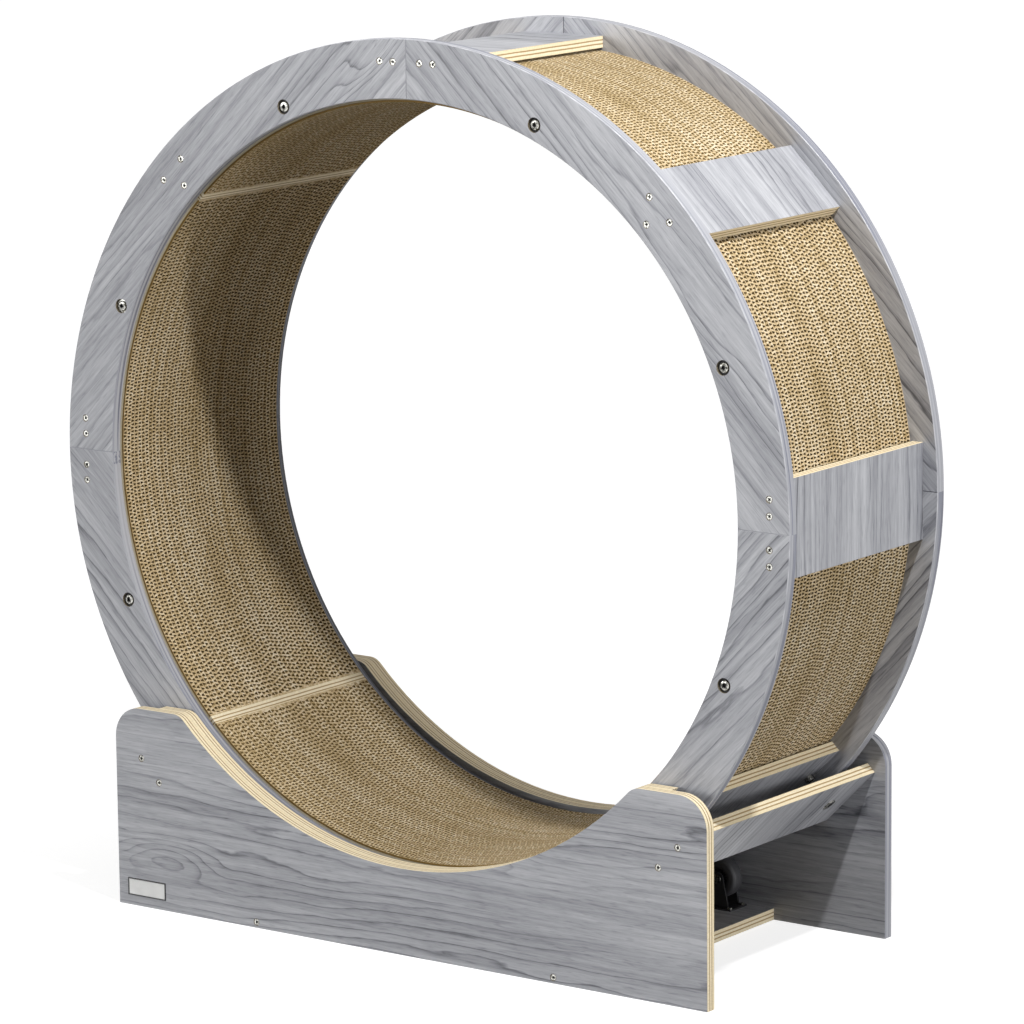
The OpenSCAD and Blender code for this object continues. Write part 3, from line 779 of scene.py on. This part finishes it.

# %% [markdown]
# The first and last sheet of a pad end in a smooth liner, which is never sawn:
# plain brown kraft paper. A few millimetres of it stand proud of the ring. Next
# to the ring it is coloured as a pale line, and the rest is darker. So the colour
# follows the distance out from the track, which wanders a little.

# %% Smooth kraft liner with a pale line along the ring
liner_shown, pale_line_wander = 5 * mm, 1.2 * mm
liner, tree, shader = new_material("smooth kraft liner", Roughness=0.75)
spot = add(tree, "TexCoord").outputs["Object"]
arm = add(tree, "VectorMath", (spot, (axis.x, 0, axis.z)), operation="SUBTRACT").outputs[0]
arm = add(tree, "VectorMath", (arm, (1, 0, 1)), operation="MULTIPLY").outputs[0]
radius = add(tree, "VectorMath", (arm,), operation="LENGTH").outputs["Value"]
wander = add(tree, "TexNoise", {"Vector": spot, "Scale": 18.0, "Detail": 2.0}).outputs["Fac"]
radius = add(tree, "Math", (wander, pale_line_wander, radius), operation="MULTIPLY_ADD").outputs[0]
from_track = add(tree, "MapRange", (
    radius, track_radius, track_radius + liner_shown, 0.0, 1.0)).outputs[0]
tone = add(tree, "ValToRGB", (from_track,), [
    (0.0, "#B39A66"), (0.12, "#86692C"), (0.60, "#7A5E26"), (0.72, "#CFC2A2"),
    (1.0, "#D9CDB0")]).outputs[0]
tree.links.new(tone, shader.inputs["Base Color"])
print("liner shown", round(liner_shown / mm, 1), "mm")

# %% The four pads
pad_turns = {"east": 0, "north": 90, "west": 180, "south": 270}
for name, turn in pad_turns.items():
    bm = pad_bm.copy()
    bmesh.ops.rotate(bm, verts=bm.verts, cent=axis, matrix=Matrix.Rotation(radians(-turn), 3, "Y"))
    piece = place(bm, f"pad_{name}_cardboard", "wheel", [f"pad_{name}"],
                  [kraft, flute_wall_painted_shade, flute_end_painted_shade, liner])
    piece.data.shade_flat()
    print(piece.name, "triangles", sum(len(p.vertices) - 2 for p in piece.data.polygons))
pad_bm.free()

# %% [markdown]
# The rings, slats and panels are held by countersunk wood screws, and eight tie
# bolts run through the pads from ring to ring. All are zinc-plated steel: a thin
# bright coat, dipped and tumbled, that mirrors the room softly. Its colour has
# blotches of 2 mm, a painted reflection of dark and bright surroundings, and they
# also set its roughness. The middle and the very rim of a head are painted greyer,
# as painted shade. So each vertex carries its share of the way from the part's
# axis to its rim, and the colour follows it. The recess itself is painted nearly
# black, as painted shade.

# %% Zinc-plated steel with painted reflection and shade, and painted shade in a recess
zinc, tree, shader = new_material("zinc-plated steel", Metallic=1.0)
spot = add(tree, "TexCoord").outputs["Object"]
# The blotches are a painted reflection in the colour; the same noise sets the roughness.
painted_reflection_and_roughness = add(tree, "TexNoise", {"Vector": spot, "Scale": 420.0, "Detail": 3.0}).outputs["Fac"]
tone = add(tree, "ValToRGB", (painted_reflection_and_roughness,), [(0.38, "#5F5E57"), (0.60, "#ECEBE4")]).outputs[0]
share = add(tree, "Attribute", attribute_name="share_of_radius").outputs["Fac"]
# Painted shade: the middle and the very rim of a head are darker.
painted_shade_by_radius = add(tree, "ValToRGB", (share,), [
    (0.40, "#7C7C7C"), (0.64, "#F6F6F6"), (0.80, "#F6F6F6"), (1.0, "#C0C0C0")]).outputs[0]
tone = add(tree, "VectorMath", (tone, painted_shade_by_radius), operation="MULTIPLY").outputs[0]
tree.links.new(tone, shader.inputs["Base Color"])
rough = add(tree, "MapRange", (painted_reflection_and_roughness, 0.3, 0.7, 0.40, 0.22)).outputs[0]
tree.links.new(rough, shader.inputs["Roughness"])
# Painted shade: recesses and bores are painted nearly black.
recess = speckled("shade_painted recess in steel", 900.0, [(0.3, "#0E0E0F"), (0.7, "#26262A")], Roughness=0.7)
print("zinc nodes", len(tree.nodes))

# %% [markdown]
# The fasteners are already turned to shape in the frame. What a solid model
# leaves out is what a pressed head has: a rounded rim that catches a bright ring
# of light. So each fastener is found as a separate shell of the welded copy, its
# recess gets a dark finish of painted shade, and the rim of a bolt's head is bevelled.

# %% Heads, rims and recesses of round parts
skin, rim_width, aside, round_angle, recess_slot = 0.02 * mm, 0.1 * mm, 0.5, 35, 1


def finish_head(bm, faces, into, deepest, reach, rim_ease):
    """Gives a fastener's recess the dark finish of painted shade and rounds its head's rim; into points
    from head to tip.
    """
    verts = list({v for f in faces for v in f.verts})
    head = min(v.co.dot(into) for v in verts)
    middle = sum((v.co for v in verts), Vector()) / len(verts)
    for face in faces:
        spot = face.calc_center_median()
        out = spot - middle
        out -= out.dot(into) * into
        depth = spot.dot(into) - head
        inward = face.normal.dot(into) < aside and face.normal.dot(out) < near
        if skin < depth < deepest and out.length < reach and inward:
            face.material_index = recess_slot
    if rim_ease:
        top = [v for v in verts if v.co.dot(into) - head < skin]
        far = max(off_axis(v.co, middle, into) for v in top)
        rim = {v for v in top if off_axis(v.co, middle, into) > far - rim_width}
        edges = [e for e in {e for v in rim for e in v.link_edges} if all(v in rim for v in e.verts)]
        bevel(bm, edges, rim_ease, 3)


def round_parts(node, body, into, deepest, reach, rim_ease=0.0):
    """A node of like round parts as one piece, with finished heads."""
    bm = welded_copy(node)
    groups = shells(bm)
    middles = []
    for faces in groups:
        verts = {v for f in faces for v in f.verts}
        middle = sum((v.co for v in verts), Vector()) / len(verts)
        middles.append((middle, max(off_axis(v.co, middle, into) for v in verts)))
        finish_head(bm, faces, into, deepest, reach, rim_ease)
    share = bm.verts.layers.float.new("share_of_radius")
    for vert in bm.verts:
        vert[share] = min(off_axis(vert.co, middle, into) / far for middle, far in middles)
    dark = sum(f.material_index == recess_slot for f in bm.faces)
    print(node, "parts", len(groups), "recess faces", dark)
    place(bm, f"{node}_finished", body, [node], [zinc, recess], smooth_angle=round_angle)


# %% Screws, bolts and nuts
cross_depth, cross_reach = 1.7 * mm, 2.4 * mm
socket_depth, socket_reach, bolt_ease = 3.2 * mm, 3.2 * mm, 2.2 * mm
pan_depth, pan_reach, pan_ease = 1.1 * mm, 2.0 * mm, 0.8 * mm
for node, body in (("rim_screws", "wheel"), ("panel_screws", "stand")):
    for side, into in (("front", front_way), ("back", back_way)):
        round_parts(f"{node}_{side}", body, into, cross_depth, cross_reach)
for node, into in (("tie_bolts", front_way), ("tie_nuts", back_way)):
    round_parts(node, "wheel", into, socket_depth, socket_reach, bolt_ease)
round_parts("caster_screws", "stand", Vector((0, 0, -1)), pan_depth, pan_reach, pan_ease)

# %% [markdown]
# A parking bolt can be pushed through the right end board into the slat behind
# it, so that the wheel stands still. The bush and the insert that take it are
# turned steel. Their bores are deep, and painted dark as painted shade, which is
# what the eye finds first.

# %% Bush and insert of the parking lock
bore_depth, bore_reach, bush_ease = 20 * mm, 4 * mm, 0.6 * mm
for node, body in (("lock_bush", "stand"), ("lock_socket", "wheel")):
    round_parts(node, body, lock_way, bore_depth, bore_reach, bush_ease)

# %% [markdown]
# The four casters are bought parts. The fork is pressed from 2 mm sheet and
# powder coated black: an even, slightly pebbled satin coat. Its sharp sawn look
# goes when every outer corner is rounded by half a millimetre. The hub is black
# nylon, moulded with a few thin ribs between boss and rim, and the tyre is dark
# grey rubbery urethane, cast on to it.

# %% Black finishes of the casters
pebble_height = 0.1 * mm


def mottled(name, low, high, grit, bumps, **values):
    """A nearly plain finish with a faint mottle of 17 mm and a fine bump of the given size."""
    material = speckled(name, 60.0, [(0.3, low), (0.7, high)], 3.0, **values)
    tree = material.node_tree
    spot = tree.nodes["Texture Coordinate"].outputs["Object"]
    pebbles = add(tree, "TexNoise", {"Vector": spot, "Scale": 1 / grit, "Detail": 2.0}).outputs["Fac"]
    bump = add(tree, "Bump", {"Height": pebbles, "Strength": bumps, "Distance": pebble_height})
    tree.links.new(bump.outputs[0], tree.nodes["Principled BSDF"].inputs["Normal"])
    return material


powder_coat = mottled("black powder-coated steel", "#131315", "#1D1D20", 1.2 * mm, 0.35, Roughness=0.42)
nylon = mottled("moulded black nylon", "#18181A", "#232326", 2.5 * mm, 0.15, Roughness=0.33)
urethane = mottled("cast dark urethane", "#2B2B2E", "#3A3A3D", 1.6 * mm, 0.25, Roughness=0.62)
print("nodes of a mottled finish", len(nylon.node_tree.nodes))

# %% Forks, axles, hubs and tyres
fork_ease, fork_least, rivet_ease, tyre_ease = 0.5 * mm, 20 * mm * mm, 1.1 * mm, 1.2 * mm
slight_turn, steep_turn = radians(30), radians(60)
hub_boss, hub_rim_inner, hub_web, rib_top = 7.5 * mm, 13 * mm, 6 * mm, 8.6 * mm
rib_count, rib_width, rib_root = 8, 1.6 * mm, 1 * mm
rib_length, rib_height = hub_rim_inner - hub_boss + rib_root, rib_top - hub_web + rib_root
for seat in ("fl", "fr", "bl", "br"):
    bm = welded_copy(f"bracket_{seat}")
    ease_corners(bm, fork_ease, least_area=fork_least)
    place(bm, f"bracket_{seat}_coated", "stand", [f"bracket_{seat}"],
          [powder_coat], smooth_angle=round_angle)

    bm = welded_copy(f"axle_{seat}")
    low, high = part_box(f"axle_{seat}")
    ends = [e for e in bm.edges if e.is_manifold and e.calc_face_angle() > steep_turn
            and (abs(e.verts[0].co.y - low.y) < near or abs(e.verts[0].co.y - high.y) < near)
            and abs(e.verts[0].co.y - e.verts[1].co.y) < near]
    bevel(bm, ends, rivet_ease, 3)
    place(bm, f"axle_{seat}_riveted", "stand", [f"axle_{seat}"], [zinc],
          smooth_angle=round_angle)

    bm = welded_copy(f"hub_{seat}")
    low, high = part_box(f"hub_{seat}")
    for side in (-1, 1):
        for k in range(rib_count):
            rib = bmesh.ops.create_cube(bm, size=1.0)["verts"]
            bmesh.ops.scale(bm, verts=rib, vec=(rib_length, rib_height, rib_width))
            bmesh.ops.translate(bm, verts=rib, vec=((hub_rim_inner + hub_boss) / 2,
                                                    side * (rib_top - rib_height / 2), 0))
            turn = Matrix.Rotation(2 * pi * k / rib_count, 3, "Y")
            bmesh.ops.rotate(bm, verts=rib, cent=(0, 0, 0), matrix=turn)
            bmesh.ops.translate(bm, verts=rib, vec=(low + high) / 2)
    place(bm, f"hub_{seat}_moulded", f"roller_{seat}", [f"hub_{seat}"],
          [nylon], smooth_angle=round_angle)

    bm = welded_copy(f"tyre_{seat}")
    shoulders = [e for e in bm.edges
                 if e.is_manifold and slight_turn < e.calc_face_angle() < steep_turn]
    bevel(bm, shoulders, tyre_ease, 2)
    place(bm, f"tyre_{seat}_cast", f"roller_{seat}", [f"tyre_{seat}"],
          [urethane], smooth_angle=round_angle)
    print("caster", seat, "edges of rivets", len(ends), "of shoulders", len(shoulders))

# %% [markdown]
# Low on the front panel a small plate is let in. It stays blank: a dark printed
# border round a bright plain face, like thin anodised sheet.

# %% Blank plate
grain_size, least_sunk = 1.5 * mm, 0.1 * mm
plate_rim = mottled("black lacquered border", "#1A1A1B", "#2A2A2C", grain_size, 0.1, Roughness=0.4)
plate_face = mottled("plain white lacquered sheet", "#E4E4E2", "#F0F0EE", grain_size, 0.08,
                     Roughness=0.35)
bm = welded_copy("label_plate")
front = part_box("label_plate")[0].y
for face in bm.faces:
    sunk = face.calc_center_median().y - front
    face.material_index = int(face.normal.y < -same_way and sunk > least_sunk)
print("blank faces of the plate", sum(f.material_index for f in bm.faces))
place(bm, "label_plate_blank", "stand", ["label_plate"], [plate_rim, plate_face])


# %% [markdown]
# The studio is plain: a pale floor, a dim even room and four soft lamps. The key
# is a round lamp close by, above and to the right of the photographer. Its beams
# spread, so the front ring throws a curved shadow over the left inside. A wide
# lamp overhead lights what faces up, a low one from the front left the front
# faces, and a weak one from the right the outside of the track. A bright floor
# would throw so much light up that the shaded boards lost their depth. So the
# floor and the room look white to the camera and in reflections only, which
# Light Path tells, and give the object no more light than a grey floor would.

# %% Floor
floor_reach, glow_share = 14.0, 0.80
floor_bm = bmesh.new()
bmesh.ops.create_grid(floor_bm, x_segments=1, y_segments=1, size=floor_reach)
floor_mesh = bpy.data.meshes.new("floor")
floor_bm.to_mesh(floor_mesh)
floor_bm.free()
studio_floor = bpy.data.objects.new("floor", floor_mesh)
bpy.context.scene.collection.objects.link(studio_floor)


def seen_directly(tree):
    """One for a ray of the camera, a reflection or a clear pass, and nought for scattered light."""
    rays = add(tree, "LightPath").outputs
    seen = add(tree, "Math", (rays["Is Camera Ray"], rays["Is Glossy Ray"]),
               operation="MAXIMUM").outputs[0]
    return add(tree, "Math", (seen, rays["Is Transmission Ray"]), operation="MAXIMUM").outputs[0]


floor_paint = bpy.data.materials.new("white studio floor")
floor_paint.use_nodes = True
tree = floor_paint.node_tree
tree.nodes.remove(tree.nodes["Principled BSDF"])
shown = add(tree, "BsdfDiffuse", (colour("#ABABAB"),)).outputs[0]
glow = add(tree, "Emission", (colour("#FFFFFF"), glow_share)).outputs[0]
shown = add(tree, "AddShader", (shown, glow)).outputs[0]
lit = add(tree, "BsdfDiffuse", (colour("#8A8A8A"),)).outputs[0]
floor_look = add(tree, "MixShader", (seen_directly(tree), lit, shown)).outputs[0]
tree.links.new(floor_look, tree.nodes["Material Output"].inputs["Surface"])
floor_mesh.materials.append(floor_paint)
print("floor", 2 * floor_reach, "m wide")

# %% Room
room_light = 0.12
world = bpy.data.worlds.new("studio")
bpy.context.scene.world = world
world.use_nodes = True
tree = world.node_tree
room = tree.nodes["Background"]
room.inputs["Color"].default_value = colour("#FFFFFF")
room.inputs["Strength"].default_value = room_light
white = add(tree, "Background", (colour("#FFFFFF"), 1.0)).outputs[0]
room_look = add(tree, "MixShader", (seen_directly(tree), room.outputs[0], white)).outputs[0]
tree.links.new(room_look, tree.nodes["World Output"].inputs["Surface"])
print("room light", room_light)


# %% Lamps
def hang_lamp(name, kind, way, spot=(0, 0, 0), **settings):
    """A lamp of one kind with its settings, whose light comes from the way given."""
    data = bpy.data.lights.new(name, kind)
    for key, value in settings.items():
        setattr(data, key, value)
    lamp = bpy.data.objects.new(name, data)
    lamp.location = spot
    lamp.rotation_euler = way.to_track_quat("Z", "Y").to_euler()
    bpy.context.scene.collection.objects.link(lamp)


key_spot, key_target = Vector((1.36, -0.80, 2.61)), Vector((0.0, 0.0, 0.5))
hang_lamp("key", "AREA", key_spot - key_target, key_spot, shape="DISK", size=0.12, energy=46.0)
# Lamps as far off as the sun: the way towards each, its strength, and its apparent width in degrees.
suns = {
    "top light": ((0.0, -0.05, 1.0), 1.0, 40),
    "front fill": ((-0.60, -0.78, 0.10), 1.85, 30),
    "side fill": ((0.97, -0.06, 0.15), 1.5, 20),
}
for name, (way, strength, softness) in suns.items():
    hang_lamp(name, "SUN", Vector(way), energy=strength, angle=radians(softness))
bpy.context.scene.view_settings.view_transform = "Standard"
print("lamps", 1 + len(suns))
